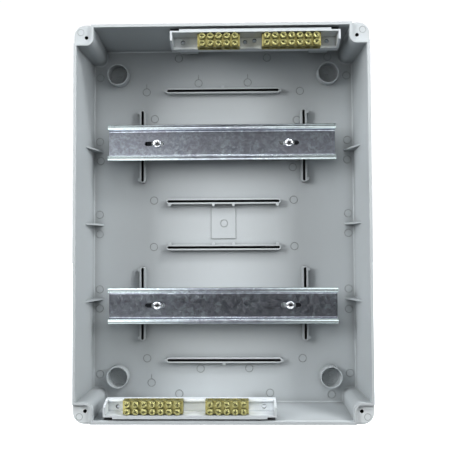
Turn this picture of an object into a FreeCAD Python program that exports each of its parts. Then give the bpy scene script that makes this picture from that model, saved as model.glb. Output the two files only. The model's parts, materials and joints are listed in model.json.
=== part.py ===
import FreeCAD, Part
import Sketcher
import os
import re
from FreeCAD import Vector, Rotation, Placement

# Base of a surface-mounted, two-row, twenty-four-way distribution enclosure, cover off.
# Frame: origin in the middle of the back face that lies on the wall, X to the right,
# Z up, -Y out of the wall towards the user.  Heights h are measured from the inner
# face of the floor towards the user, so y = -(floor_t + h).  Millimetres.

doc = FreeCAD.newDocument("enclosure")
sheet = doc.addObject("Spreadsheet::Sheet", "dims")

DIMS = [
    # moulded base shell
    ("floor_t", 4.0, "back face to inner face of the floor"),
    ("depth_in", 68.0, "inner face of the floor to the rim"),
    ("rim_hw", 134.5, "half width outside, at the rim"),
    ("rim_hh", 180.5, "half height outside, at the rim"),
    ("back_hw", 133.3, "half width outside, at the back"),
    ("back_hh", 179.3, "half height outside, at the back"),
    ("outer_rad", 10.0, "outer corner radius"),
    ("floor_hw", 131.2, "half width of the cavity at the floor"),
    ("floor_hh", 177.2, "half height of the cavity at the floor"),
    ("mouth_hw", 131.92, "half width of the cavity 1 mm past the rim"),
    ("mouth_hh", 177.92, "half height of the cavity 1 mm past the rim"),
    ("foot_rad", 1.5, "radius between floor and walls"),
    ("recess_hw", 124.0, "half width of the relief in the back"),
    ("recess_hh", 170.0, "half height of the relief in the back"),
    ("recess_d", 1.2, "depth of the relief in the back"),
    # corner posts for the cover screws
    ("post_x_mouth", 116.3, "inner side of a post at the rim, in x"),
    ("post_z_mouth", 161.2, "inner side of a post at the rim, in z"),
    ("post_x_floor", 118.0, "inner side of a post at the floor, in x"),
    ("post_z_floor", 163.0, "inner side of a post at the floor, in z"),
    ("post_rad", 7.0, "corner radius of a post"),
    ("lip_t", 2.3, "width of the sealing lip round a post"),
    ("seat_h", 65.3, "height of the cover-screw seats"),
    ("seat_rad", 4.7, "inner corner radius of a seat"),
    ("cover_x", 123.4, "cover screw holes, half spacing in x"),
    ("cover_z", 169.2, "cover screw holes, half spacing in z"),
    ("cover_hole_rad", 1.6, "cover screw pilot hole radius"),
    ("cover_hole_d", 40.0, "cover screw pilot hole depth"),
    # wall-fixing cups
    ("cup_x", 105.6, "wall-fixing cups, half spacing in x"),
    ("cup_z", 151.2, "wall-fixing cups, half spacing in z"),
    ("cup_rad", 10.9, "cup outer radius"),
    ("cup_in_rad", 9.6, "cup inner radius"),
    ("cup_high", 9.5, "cup height"),
    ("cup_sink", 1.2, "cup bottom below the floor"),
    ("cup_pip_rad", 1.1, "drill mark radius"),
    ("cup_pip_d", 0.8, "drill mark depth"),
    ("cup_pad_rad", 13.0, "pad on the back under a cup"),
    ("mid_pad_rad", 15.0, "pad in the middle of the back"),
    # partition grooves on the floor
    ("groove_high", 6.0, "height of the groove ribs"),
    ("groove_w", 5.7, "width over both ribs, horizontal grooves"),
    ("groove_w_side", 6.4, "width over both ribs, vertical grooves"),
    ("groove_slot", 2.3, "slot between the ribs"),
    ("groove_sink", 2.0, "slot bottom below the floor"),
    ("groove_end_t", 1.3, "rib thickness round a groove end"),
    ("groove_hl", 57.4, "half length of a horizontal groove"),
    ("groove_z_in", 23.1, "inner horizontal grooves, z"),
    ("groove_z_out", 134.9, "outer horizontal grooves, z"),
    ("groove_x_side", 81.0, "vertical grooves, x"),
    ("groove_z_lo", 42.0, "vertical grooves, near end"),
    ("groove_z_hi", 115.8, "vertical grooves, far end"),
    ("nub_rad", 1.6, "round nub beside a groove"),
    ("nub_out", 3.5, "nub axis from the groove's centre line"),
    ("nub_x_in", 10.0, "inner nubs, x"),
    ("nub_x_out", 54.0, "outer nubs, x"),
    # stiffening gussets on the side walls
    ("gusset_t", 1.8, "gusset thickness"),
    ("gusset_high", 36.0, "gusset height on the wall"),
    ("gusset_x", 121.4, "gusset toe on the floor, x"),
    ("gusset_z", 74.5, "outer gussets, z"),
    # centre pad
    ("pad_hw", 12.1, "centre pad half width"),
    ("pad_hh", 15.4, "centre pad half height"),
    ("pad_z", 1.2, "centre pad middle, z"),
    ("pad_high", 0.8, "centre pad height"),
    ("pad_ring_rad", 4.0, "gate ring radius"),
    ("pad_ring_t", 0.8, "gate ring width"),
    # rail bosses
    ("rail_z", 79.5, "rail centre lines, z"),
    ("boss_x", 65.0, "rail screws, half spacing in x"),
    ("boss_rad", 5.5, "rail boss radius"),
    ("boss_high", 16.0, "rail boss height"),
    ("boss_hole_rad", 2.0, "rail boss thread radius"),
    ("boss_hole_h", 1.0, "bottom of the rail boss hole above the floor"),
    # 35 mm top-hat rail
    ("rail_len", 223.0, "rail length"),
    ("rail_w", 35.0, "rail width"),
    ("rail_in_w", 25.0, "rail channel width"),
    ("rail_deep", 6.5, "rail channel depth, 7.5 over all with the web"),
    ("rail_t", 1.0, "rail sheet thickness"),
    ("rail_rad_in", 0.7, "inside bend radius"),
    ("rail_rad_out", 1.6, "outside bend radius"),
    ("slot_len", 19.4, "rail slot length over all"),
    ("slot_w", 4.3, "rail slot width"),
    ("slot_x", 66.5, "rail slots, half spacing"),
    ("upper_rail_x", -1.1, "upper rail off centre"),
    ("lower_rail_x", -0.6, "lower rail off centre"),
    # rail screws
    ("rs_head_rad", 4.0, "rail screw head radius"),
    ("rs_head_t", 2.6, "rail screw head height"),
    ("rs_dome_rad", 1.1, "rail screw head edge radius"),
    ("rs_shank_rad", 1.95, "rail screw thread radius"),
    ("rs_tip_h", 3.0, "rail screw tip above the floor"),
    ("rs_cross_l", 4.4, "cross recess width"),
    ("rs_cross_w", 0.9, "cross recess blade"),
    ("rs_cross_d", 1.5, "cross recess depth"),
    # terminal carriers, in their own x from the middle; z is the distance from the
    # enclosure's middle
    ("upper_carrier_x", 30.9, "upper carrier middle, x"),
    ("lower_carrier_x", -29.6, "lower carrier middle, x"),
    ("tray_hl", 77.7, "carrier half length"),
    ("tray_z_out", 174.4, "outer wall, outer face"),
    ("tray_wall_t", 1.6, "outer wall thickness"),
    ("tray_z_in", 161.4, "inner wall, inner face"),
    ("tray_in_t", 2.2, "inner wall thickness"),
    ("tray_end_t", 2.0, "end wall thickness"),
    ("tray_floor_h", 51.0, "tray floor height"),
    ("tray_floor_t", 2.0, "tray floor thickness"),
    ("tray_skirt_h", 46.0, "lower edge of the carrier walls"),
    ("tray_in_h", 53.6, "inner wall top"),
    ("tray_top_h", 66.5, "outer wall top"),
    ("tray_ear_z", 165.5, "end wall, inner end of its full height"),
    ("tray_lip_w", 1.6, "lip beyond the outer wall"),
    ("tray_lip_t", 1.6, "lip thickness"),
    ("tray_notch", 8.4, "lip set back from each end"),
    ("tray_hole_rad", 1.9, "spare fixing hole radius"),
    ("tray_hole_z", 168.5, "spare fixing holes, z"),
    ("tray_hole_x", 67.0, "outer spare fixing holes, own x"),
    ("tray_hole_xa", -8.9, "third spare fixing hole, own x"),
    ("tray_hole_xb", -0.2, "fourth spare fixing hole, own x"),
    ("tray_hole_zb", 169.6, "fourth spare fixing hole, z"),
    ("leg_x", 64.0, "leg middle, own x"),
    ("leg_hw", 7.0, "leg half width"),
    ("leg_tip_h", 12.0, "leg tip height"),
    ("guide_hw", 9.2, "leg guide half width"),
    ("guide_z_in", 170.9, "leg guide, inner face"),
    ("guide_h_lo", 10.0, "leg guide, lower edge"),
    ("guide_h_hi", 30.0, "leg guide, upper edge"),
    ("guide_gap", 0.25, "clearance round a leg in its guide"),
    ("boss_bar_rad", 3.5, "bar support radius"),
    ("bar_peg_rad", 1.5, "bar locating peg radius"),
    ("bar_peg_high", 1.0, "bar locating peg height"),
    # brass bars
    ("bar_off", 33.3, "bar middles, own x from the carrier's middle"),
    ("bar_z_in", 160.5, "bar, inner face"),
    ("bar_z_out", 172.5, "bar, outer face"),
    ("bar_h_lo", 54.0, "bar underside"),
    ("bar_h_hi", 63.5, "bar top"),
    ("pitch", 7.5, "terminal pitch"),
    ("bar_margin", 4.4, "bar beyond its end terminals"),
    ("wire_rad", 2.75, "wire hole radius"),
    ("wire_h", 58.35, "wire hole axis height"),
    ("row_z_mid", 166.3, "middle between the screw rows, z"),
    ("row_half", 3.3, "half spacing of the screw rows"),
    ("cs_hole_rad", 1.8, "clamp screw thread radius in the bar"),
    ("peg_hole_rad", 1.55, "peg hole radius"),
    ("peg_hole_d", 1.1, "peg hole depth"),
    # clamp screws
    ("cs_head_rad", 2.9, "clamp screw head radius"),
    ("cs_head_t", 1.8, "clamp screw head height"),
    ("cs_head_h", 65.0, "clamp screw head underside"),
    ("cs_shank_rad", 1.75, "clamp screw thread radius"),
    ("cs_tip_h", 61.4, "clamp screw tip"),
    ("cs_slot_w", 0.9, "clamp screw slot width"),
    ("cs_slot_d", 0.9, "clamp screw slot depth"),
]
for i, (alias, value, note) in enumerate(DIMS, start=1):
    sheet.set("A%d" % i, note)
    sheet.set("B%d" % i, str(value))
    sheet.setAlias("B%d" % i, alias)
doc.recompute()
V = {alias: value for alias, value, note in DIMS}


def ex(e):
    """Text of an expression, with each sheet alias given its sheet name."""
    e = str(e)
    return re.sub(
        r"[A-Za-z_]\w*", lambda k: "dims." + k.group(0) if k.group(0) in V else k.group(0), e
    )


def bind(obj, **props):
    for prop, e in props.items():
        obj.setExpression(prop.replace("__", "."), ex(e))
    return obj


def at(obj, x, y, z):
    return bind(
        obj, Placement__Base__x=x, Placement__Base__y=y, Placement__Base__z=z
    )


def box(name, x0, x1, h0, h1, z0, z1):
    b = doc.addObject("Part::Box", name)
    bind(
        b,
        Length="(%s) - (%s)" % (x1, x0),
        Width="(%s) - (%s)" % (h1, h0),
        Height="(%s) - (%s)" % (z1, z0),
    )
    return at(b, x0, "-(floor_t + (%s))" % h1, z0)


TO_USER = Rotation(Vector(1, 0, 0), 90)  # turns +Z to -Y


def cyl(name, x, z, h0, h1, r):
    """A cylinder along the depth, from height h0 to h1."""
    c = doc.addObject("Part::Cylinder", name)
    c.Placement = Placement(Vector(0, 0, 0), TO_USER)
    bind(c, Radius=r, Height="(%s) - (%s)" % (h1, h0))
    return at(c, x, "-(floor_t + (%s))" % h0, z)


def cyl_z(name, x, h, z0, z1, r):
    """A cylinder along Z."""
    c = doc.addObject("Part::Cylinder", name)
    bind(c, Radius=r, Height="(%s) - (%s)" % (z1, z0))
    return at(c, x, "-(floor_t + (%s))" % h, z0)


def wedge(name, h_front, h_back, front, back):
    """A tapered block; front and back are x0, x1, z0, z1 at those heights."""
    w = doc.addObject("Part::Wedge", name)
    bind(
        w,
        Ymin="-(floor_t + (%s))" % h_front,
        Ymax="-(floor_t + (%s))" % h_back,
        Xmin=front[0],
        Xmax=front[1],
        Zmin=front[2],
        Zmax=front[3],
        X2min=back[0],
        X2max=back[1],
        Z2min=back[2],
        Z2max=back[3],
    )
    return w


def fuse(name, parts, refine=False):
    f = doc.addObject("Part::MultiFuse", name)
    f.Shapes = parts
    f.Refine = refine
    return f


def cut(name, base, tool, refine=False):
    c = doc.addObject("Part::Cut", name)
    c.Base = base
    c.Tool = tool
    c.Refine = refine
    return c


def fillet(name, base, rad, keep):
    """Rounds the edges of base for which keep(edge) is true."""
    doc.recompute()
    f = doc.addObject("Part::Fillet", name)
    f.Base = base
    picked = [
        (i, rad, rad) for i, e in enumerate(base.Shape.Edges, start=1) if keep(e)
    ]
    if not picked:
        raise RuntimeError("no edge picked for " + name)
    f.Edges = picked
    return f


def ends(e):
    return [v.Point for v in e.Vertexes]


def runs_deep(e):
    p = ends(e)
    return len(p) == 2 and abs(p[0].y - p[1].y) > 1.0


SIGNS = [("tl", -1, 1), ("tr", 1, 1), ("bl", -1, -1), ("br", 1, -1)]


def signed(s, e):
    return "(%s)" % e if s > 0 else "-(%s)" % e


def span(s, lo, hi):
    """The two ends, in rising order, of a span lo..hi mirrored when s is -1."""
    return (lo, hi) if s > 0 else ("-(%s)" % hi, "-(%s)" % lo)


# ---------------------------------------------------------------- enclosure base
outer = wedge(
    "outer_block",
    "depth_in",
    "-floor_t",
    ("-rim_hw", "rim_hw", "-rim_hh", "rim_hh"),
    ("-back_hw", "back_hw", "-back_hh", "back_hh"),
)
outer_round = fillet("outer_round", outer, V["outer_rad"], runs_deep)

cavity = wedge(
    "cavity_block",
    "depth_in + 1",
    "0",
    ("-mouth_hw", "mouth_hw", "-mouth_hh", "mouth_hh"),
    ("-floor_hw", "floor_hw", "-floor_hh", "floor_hh"),
)
posts = []
for tag, sx, sz in SIGNS:
    fx = span(sx, "post_x_mouth", "140")
    fz = span(sz, "post_z_mouth", "186")
    bx = span(sx, "post_x_floor", "140")
    bz = span(sz, "post_z_floor", "186")
    w = wedge("post_block_" + tag, "depth_in + 1", "-1", fx + fz, bx + bz)
    posts.append(
        fillet(
            "post_round_" + tag,
            w,
            V["post_rad"],
            lambda e: runs_deep(e)
            and all(abs(p.x) < 130 and abs(p.z) < 175 for p in ends(e)),
        )
    )
room = cut("cavity_between_posts", cavity, fuse("post_blocks", posts))
room_round = fillet(
    "cavity_round",
    room,
    V["foot_rad"],
    lambda e: all(abs(p.y + V["floor_t"]) < 1e-4 for p in ends(e)),
)
shell = cut("shell", outer_round, room_round)

relief_pads = fuse(
    "relief_pads",
    [
        cyl(
            "relief_pad_" + tag,
            signed(sx, "cup_x"),
            signed(sz, "cup_z"),
            "-floor_t - 1",
            "-floor_t + recess_d + 1",
            "cup_pad_rad",
        )
        for tag, sx, sz in SIGNS
    ]
    + [cyl("relief_pad_mid", "0", "0", "-floor_t - 1", "-floor_t + recess_d + 1", "mid_pad_rad")],
)
relief = cut(
    "relief",
    box(
        "relief_block",
        "-recess_hw",
        "recess_hw",
        "-floor_t - 1",
        "-floor_t + recess_d",
        "-recess_hh",
        "recess_hh",
    ),
    relief_pads,
)

adds = [shell]
cuts = [relief]

for tag, sx, sz in SIGNS:
    x, z = signed(sx, "cup_x"), signed(sz, "cup_z")
    adds.append(cyl("cup_" + tag, x, z, "-0.5", "cup_high", "cup_rad"))
    cuts.append(cyl("cup_bore_" + tag, x, z, "-cup_sink", "cup_high + 1", "cup_in_rad"))
    cuts.append(cyl("cup_pip_" + tag, x, z, "-cup_sink - cup_pip_d", "0", "cup_pip_rad"))
    # cover-screw seat and pilot hole
    seat = box(
        "seat_block_" + tag,
        *span(sx, "post_x_mouth + lip_t", "140"),
        "seat_h",
        "depth_in + 2",
        *span(sz, "post_z_mouth + lip_t", "186"),
    )
    cuts.append(
        fillet(
            "seat_" + tag,
            seat,
            V["seat_rad"],
            lambda e: runs_deep(e)
            and all(abs(p.x) < 130 and abs(p.z) < 175 for p in ends(e)),
        )
    )
    cuts.append(
        cyl(
            "cover_hole_" + tag,
            signed(sx, "cover_x"),
            signed(sz, "cover_z"),
            "seat_h - cover_hole_d",
            "seat_h + 1",
            "cover_hole_rad",
        )
    )


def groove(name, vertical, mid, lo, hi, nubs):
    """A pair of ribs joined round both ends; nubs are (along, side) pairs."""
    hw = "groove_w_side / 2" if vertical else "groove_w / 2"
    sw = "groove_slot / 2"
    end, slot_end = hw, "groove_end_t + groove_slot / 2"
    body, slots = [], []
    for kind, half, inset, h0, h1, out in (
        ("rib", hw, end, "-0.5", "groove_high", body),
        ("slot", sw, slot_end, "-groove_sink", "groove_high + 1", slots),
    ):
        a, b = "(%s) + (%s)" % (lo, inset), "(%s) - (%s)" % (hi, inset)
        c, d = "(%s) - (%s)" % (mid, half), "(%s) + (%s)" % (mid, half)
        if vertical:
            out.append(box("%s_%s" % (name, kind), c, d, h0, h1, a, b))
            out.append(cyl("%s_%s_a" % (name, kind), mid, a, h0, h1, half))
            out.append(cyl("%s_%s_b" % (name, kind), mid, b, h0, h1, half))
        else:
            out.append(box("%s_%s" % (name, kind), a, b, h0, h1, c, d))
            out.append(cyl("%s_%s_a" % (name, kind), a, mid, h0, h1, half))
            out.append(cyl("%s_%s_b" % (name, kind), b, mid, h0, h1, half))
    for i, (along, side) in enumerate(nubs):
        off = "(%s) + %d * nub_out" % (mid, side)
        x, z = (off, along) if vertical else (along, off)
        body.append(cyl("%s_nub_%d" % (name, i), x, z, "-0.5", "groove_high", "nub_rad"))
    adds.extend(body)
    cuts.extend(slots)


groove(
    "groove_upper_outer", False, "groove_z_out", "-groove_hl", "groove_hl",
    [("0", 1), ("-groove_hl", 0), ("groove_hl", 0)],
)
groove(
    "groove_lower_outer", False, "-groove_z_out", "-groove_hl", "groove_hl",
    [("0", -1), ("-groove_hl", 0), ("groove_hl", 0)],
)
for tag, s in (("upper", 1), ("lower", -1)):
    groove(
        "groove_%s_inner" % tag, False, signed(s, "groove_z_in"), "-groove_hl", "groove_hl",
        [("-nub_x_out", -s), ("-nub_x_in", -s), ("nub_x_in", -s), ("nub_x_out", -s)],
    )
for tag, sx, sz in SIGNS:
    lo, hi = span(sz, "groove_z_lo", "groove_z_hi")
    groove(
        "groove_side_" + tag, True, signed(sx, "groove_x_side"), lo, hi,
        [("(%s) + 3.2" % lo, sx), ("(%s) - 3.2" % hi, sx)],
    )

# gussets between side walls and floor
for side, sx in (("left", -1), ("right", 1)):
    for tag, zc in (("a", "gusset_z"), ("b", "0"), ("c", "-gusset_z")):
        z = ("(%s) - gusset_t / 2" % zc, "(%s) + gusset_t / 2" % zc)
        adds.append(
            wedge(
                "gusset_%s_%s" % (side, tag),
                "gusset_high",
                "-0.5",
                span(sx, "132.1", "132.6") + z,
                span(sx, "gusset_x", "132.6") + z,
            )
        )

# centre pad with its gate ring
adds.append(
    box(
        "centre_pad", "-pad_hw", "pad_hw", "-0.5", "pad_high",
        "pad_z - pad_hh", "pad_z + pad_hh",
    )
)
cuts.append(
    cut(
        "gate_ring",
        cyl("gate_ring_out", "0.6", "0.9", "pad_high - 0.4", "pad_high + 1", "pad_ring_rad"),
        cyl(
            "gate_ring_in", "0.6", "0.9", "pad_high - 0.5", "pad_high + 2",
            "pad_ring_rad - pad_ring_t",
        ),
    )
)

# bosses that carry the rails
SCREWS = [
    ("upper_left", -1, 1), ("upper_right", 1, 1), ("lower_left", -1, -1), ("lower_right", 1, -1),
]
for tag, sx, sz in SCREWS:
    x, z = signed(sx, "boss_x"), signed(sz, "rail_z")
    adds.append(cyl("rail_boss_" + tag, x, z, "-0.5", "boss_high", "boss_rad"))
    cuts.append(
        cyl("rail_boss_hole_" + tag, x, z, "boss_hole_h", "boss_high + 1", "boss_hole_rad")
    )

# guides on the upper and lower walls that take the carriers' legs
for tag, cx, sz in (("upper", "upper_carrier_x", 1), ("lower", "lower_carrier_x", -1)):
    for side, sl in (("left", -1), ("right", 1)):
        mid = "%s + %d * leg_x" % (cx, sl)
        adds.append(
            box(
                "guide_%s_%s" % (tag, side),
                "%s - guide_hw" % mid,
                "%s + guide_hw" % mid,
                "guide_h_lo",
                "guide_h_hi",
                *span(sz, "guide_z_in", "178.4"),
            )
        )
        cuts.append(
            box(
                "guide_slot_%s_%s" % (tag, side),
                "%s - leg_hw - guide_gap" % mid,
                "%s + leg_hw + guide_gap" % mid,
                "guide_h_lo - 1",
                "guide_h_hi + 1",
                *span(
                    sz,
                    "tray_z_out - tray_wall_t - guide_gap",
                    "tray_z_out + guide_gap",
                ),
            )
        )

base = cut("base_cut", fuse("base_adds", adds), fuse("base_cuts", cuts), refine=True)
base.Label = "enclosure_base"
OUT = [base]


def length_of(e):
    """The number that an expression of sheet aliases stands for."""
    text = re.sub(r"[A-Za-z_]\w*", lambda k: repr(float(V[k.group(0)])), str(e))
    return FreeCAD.Units.Quantity(text.replace(" ", "")).Value


# ---------------------------------------------------------------- 35 mm rails
def rail(label, cx, cz):
    body = doc.addObject("PartDesign::Body", label + "_body")
    sk = body.newObject("Sketcher::SketchObject", label + "_profile")
    yz = [f for f in body.Origin.OriginFeatures if f.Role == "YZ_Plane"][0]
    sk.AttachmentSupport = [(yz, "")]
    sk.MapMode = "FlatFace"
    face = "-(floor_t + boss_high + rail_t + rail_deep)"  # front of the flanges
    back = "-(floor_t + boss_high)"  # back of the web
    w, c, t = "rail_w / 2", "rail_in_w / 2", "rail_t"
    pts = [
        (face, "-(%s)" % w),
        (face, "-(%s)" % c),
        ("%s - %s" % (back, t), "-(%s)" % c),
        ("%s - %s" % (back, t), c),
        (face, c),
        (face, w),
        ("%s + %s" % (face, t), w),
        ("%s + %s" % (face, t), "%s + %s" % (c, t)),
        (back, "%s + %s" % (c, t)),
        (back, "-(%s + %s)" % (c, t)),
        ("%s + %s" % (face, t), "-(%s + %s)" % (c, t)),
        ("%s + %s" % (face, t), "-(%s)" % w),
    ]
    num = [tuple(length_of(e) for e in p) for p in pts]
    n = len(num)
    for i in range(n):
        a, b = num[i], num[(i + 1) % n]
        sk.addGeometry(
            Part.LineSegment(Vector(a[0], a[1], 0), Vector(b[0], b[1], 0)), False
        )
    for i in range(n):
        sk.addConstraint(Sketcher.Constraint("Coincident", i, 2, (i + 1) % n, 1))
    for i in range(n):
        k = sk.addConstraint(Sketcher.Constraint("DistanceX", -1, 1, i, 1, num[i][0]))
        sk.setExpression("Constraints[%d]" % k, ex(pts[i][0]))
        k = sk.addConstraint(Sketcher.Constraint("DistanceY", -1, 1, i, 1, num[i][1]))
        sk.setExpression("Constraints[%d]" % k, ex(pts[i][1]))
    pad = body.newObject("PartDesign::Pad", label + "_pad")
    pad.Profile = sk
    pad.SideType = "Symmetric"
    pad.setExpression("Length", ex("rail_len"))
    doc.recompute()
    front, rear = length_of(face), length_of(back)
    webf = rear - V["rail_t"]

    def long_at(y, z):
        out = []
        for i, e in enumerate(pad.Shape.Edges, start=1):
            p = ends(e)
            if abs(p[0].x - p[1].x) < 1.0:
                continue
            if abs(p[0].y - y) < 1e-3 and abs(abs(p[0].z) - z) < 1e-3:
                out.append("Edge%d" % i)
        return out

    hc = V["rail_in_w"] / 2
    inner = long_at(webf, hc) + long_at(front + V["rail_t"], hc + V["rail_t"])
    f1 = body.newObject("PartDesign::Fillet", label + "_bend_in")
    f1.Base = (pad, inner)
    f1.setExpression("Radius", ex("rail_rad_in"))
    doc.recompute()
    outer_e = []
    for i, e in enumerate(f1.Shape.Edges, start=1):
        p = ends(e)
        if len(p) == 2 and abs(p[0].x - p[1].x) > 1.0:
            for y, z in ((front, hc), (rear, hc + V["rail_t"])):
                if abs(p[0].y - y) < 1e-3 and abs(abs(p[0].z) - z) < 1e-3:
                    outer_e.append("Edge%d" % i)
    f2 = body.newObject("PartDesign::Fillet", label + "_bend_out")
    f2.Base = (f1, outer_e)
    f2.setExpression("Radius", ex("rail_rad_out"))
    body.Tip = f2
    at(body, cx, "0", cz)
    slots = []
    for side, s in (("left", -1), ("right", 1)):
        mid = "%s + %d * slot_x" % (cx, s)
        reach = "slot_len / 2 - slot_w / 2"
        h0, h1 = "boss_high - 1", "boss_high + rail_t + 1"
        slots.append(
            box(
                "%s_slot_%s" % (label, side),
                "%s - (%s)" % (mid, reach), "%s + %s" % (mid, reach), h0, h1,
                "(%s) - slot_w / 2" % cz, "(%s) + slot_w / 2" % cz,
            )
        )
        for end, e in (("a", "-"), ("b", "+")):
            slots.append(
                cyl(
                    "%s_slot_%s_%s" % (label, side, end),
                    "%s %s (%s)" % (mid, e, reach), cz, h0, h1, "slot_w / 2",
                )
            )
    done = cut(label + "_cut", body, fuse(label + "_slots", slots))
    done.Label = label
    OUT.append(done)


rail("upper_din_rail", "upper_rail_x", "rail_z")
rail("lower_din_rail", "lower_rail_x", "-rail_z")

# ---------------------------------------------------------------- rail screws
for tag, sx, sz in SCREWS:
    x, z = signed(sx, "boss_x"), signed(sz, "rail_z")
    seat_h = "boss_high + rail_t"
    head = cyl("rs_head_" + tag, x, z, seat_h, seat_h + " + rs_head_t", "rs_head_rad")
    dome = fillet(
        "rs_dome_" + tag,
        head,
        V["rs_dome_rad"],
        lambda e: len(e.Vertexes) == 1
        and e.Vertexes[0].Point.y
        < -(V["floor_t"] + V["boss_high"] + V["rail_t"] + V["rs_head_t"]) + 0.01,
    )
    shank = cyl("rs_shank_" + tag, x, z, "rs_tip_h", seat_h + " + 0.5", "rs_shank_rad")
    top = seat_h + " + rs_head_t"
    cross = fuse(
        "rs_cross_" + tag,
        [
            box(
                "rs_blade_a_" + tag,
                "%s - rs_cross_l / 2" % x, "%s + rs_cross_l / 2" % x,
                top + " - rs_cross_d", top + " + 1",
                "%s - rs_cross_w / 2" % z, "%s + rs_cross_w / 2" % z,
            ),
            box(
                "rs_blade_b_" + tag,
                "%s - rs_cross_w / 2" % x, "%s + rs_cross_w / 2" % x,
                top + " - rs_cross_d", top + " + 1",
                "%s - rs_cross_l / 2" % z, "%s + rs_cross_l / 2" % z,
            ),
        ],
    )
    s = cut("rs_cut_" + tag, fuse("rs_body_" + tag, [dome, shank]), cross)
    s.Label = tag + "_rail_screw"
    OUT.append(s)

# ---------------------------------------------------------------- terminal carriers
# Built in the upper carrier's own frame, x from its middle, then placed; the lower
# one is the same moulding turned half a turn about the depth axis.
HALF_TURN = Rotation(Vector(0, 1, 0), 180)


def settle(obj, label, which):
    obj.Label = label
    if which == "lower":
        obj.Placement = Placement(Vector(0, 0, 0), HALF_TURN)
    bind(obj, Placement__Base__x=which + "_carrier_x")
    OUT.append(obj)
    return obj


def carrier(which, bars, holes):
    p = which + "_tray_"
    solid = [
        box(p + "outer_wall", "-tray_hl", "tray_hl", "tray_skirt_h", "tray_top_h",
            "tray_z_out - tray_wall_t", "tray_z_out"),
        box(p + "floor", "-tray_hl", "tray_hl", "tray_floor_h - tray_floor_t", "tray_floor_h",
            "tray_z_in + tray_in_t - 0.5", "tray_z_out - 0.5"),
        box(p + "inner_wall", "-tray_hl", "tray_hl", "tray_skirt_h", "tray_in_h",
            "tray_z_in", "tray_z_in + tray_in_t"),
        box(p + "lip", "-(tray_hl - tray_notch)", "tray_hl - tray_notch",
            "tray_top_h - tray_lip_t", "tray_top_h",
            "tray_z_out - 0.5", "tray_z_out + tray_lip_w"),
    ]
    for side, s in (("left", -1), ("right", 1)):
        xa, xb = span(s, "tray_hl - tray_end_t", "tray_hl")
        solid.append(
            box(p + "end_low_" + side, xa, xb, "tray_skirt_h", "tray_in_h",
                "tray_z_in", "tray_z_out")
        )
        solid.append(
            wedge(p + "end_" + side, "tray_top_h", "tray_in_h",
                  (xa, xb, "tray_ear_z", "tray_z_out"), (xa, xb, "tray_z_in", "tray_z_out"))
        )
        solid.append(
            box(p + "leg_" + side, "%d * leg_x - leg_hw" % s, "%d * leg_x + leg_hw" % s,
                "leg_tip_h", "tray_skirt_h + 1",
                "tray_z_out - tray_wall_t", "tray_z_out")
        )
    for i, (mid, peg) in enumerate(bars):
        for j, s in enumerate((-1, 1)):
            x = "%s + %d * %s" % (mid, s, peg)
            solid.append(cyl("%ssupport_%d_%d" % (p, i, j), x, "row_z_mid",
                             "tray_floor_h - 0.5", "bar_h_lo", "boss_bar_rad"))
            solid.append(cyl("%speg_%d_%d" % (p, i, j), x, "row_z_mid",
                             "bar_h_lo - 0.5", "bar_h_lo + bar_peg_high", "bar_peg_rad"))
    bores = [
        cyl("%shole_%d" % (p, i), x, z, "tray_floor_h - tray_floor_t - 1",
            "tray_floor_h + 1", "tray_hole_rad")
        for i, (x, z) in enumerate(holes)
    ]
    c = cut(p + "cut", fuse(p + "solid", solid), fuse(p + "holes", bores), refine=True)
    settle(c, which + "_terminal_carrier", which)


def bar(which, ways, mid, peg):
    word = {5: "five", 7: "seven"}[ways]
    p = "%s_%s_way_" % (which, word)
    half = "%s * pitch + bar_margin" % ((ways - 1) / 2)
    block = box(p + "block", "%s - (%s)" % (mid, half), "%s + %s" % (mid, half),
                "bar_h_lo", "bar_h_hi", "bar_z_in", "bar_z_out")
    tools = []
    for i in range(ways):
        x = "%s + %s * pitch" % (mid, i - (ways - 1) / 2)
        tools.append(cyl_z("%swire_%d" % (p, i + 1), x, "wire_h", "bar_z_in - 1",
                           "bar_z_out + 1", "wire_rad"))
        for row, s in (("in", -1), ("out", 1)):
            tools.append(
                cyl("%sthread_%d_%s" % (p, i + 1, row), x,
                    "row_z_mid + %d * row_half" % s, "wire_h", "bar_h_hi + 1", "cs_hole_rad")
            )
    for j, s in enumerate((-1, 1)):
        tools.append(
            cyl("%speg_hole_%d" % (p, j), "%s + %d * %s" % (mid, s, peg), "row_z_mid",
                "bar_h_lo - 1", "bar_h_lo + peg_hole_d", "peg_hole_rad")
        )
    b = cut(p + "cut", block, fuse(p + "bores", tools))
    settle(b, p + "bar", which)
    # two clamp screws over each wire hole
    for i in range(ways):
        x = "%s + %s * pitch" % (mid, i - (ways - 1) / 2)
        pair = []
        for row, s in (("in", -1), ("out", 1)):
            q = "%sscrew_%d_%s" % (p, i + 1, row)
            z = "row_z_mid + %d * row_half" % s
            head = cyl(q + "_head", x, z, "cs_head_h", "cs_head_h + cs_head_t", "cs_head_rad")
            shank = cyl(q + "_shank", x, z, "cs_tip_h", "cs_head_h + 0.5", "cs_shank_rad")
            slot = box(q + "_slot", "%s - cs_head_rad - 1" % x, "%s + cs_head_rad + 1" % x,
                       "cs_head_h + cs_head_t - cs_slot_d", "cs_head_h + cs_head_t + 1",
                       "%s - cs_slot_w / 2" % z, "%s + cs_slot_w / 2" % z)
            pair.append(cut(q, fuse(q + "_body", [head, shank]), slot))
        both = doc.addObject("Part::Compound", "%sclamp_%d" % (p, i + 1))
        both.Links = pair
        settle(both, "%sclamp_screws_%d" % (p, i + 1), which)


PEG5, PEG7 = "1.5 * pitch", "2.5 * pitch"
carrier(
    "upper",
    [("-bar_off", PEG5), ("bar_off", PEG7)],
    [("-tray_hole_x", "tray_hole_z"), ("tray_hole_x", "tray_hole_z"),
     ("tray_hole_xa", "tray_hole_z"), ("tray_hole_xb", "tray_hole_zb")],
)
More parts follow.
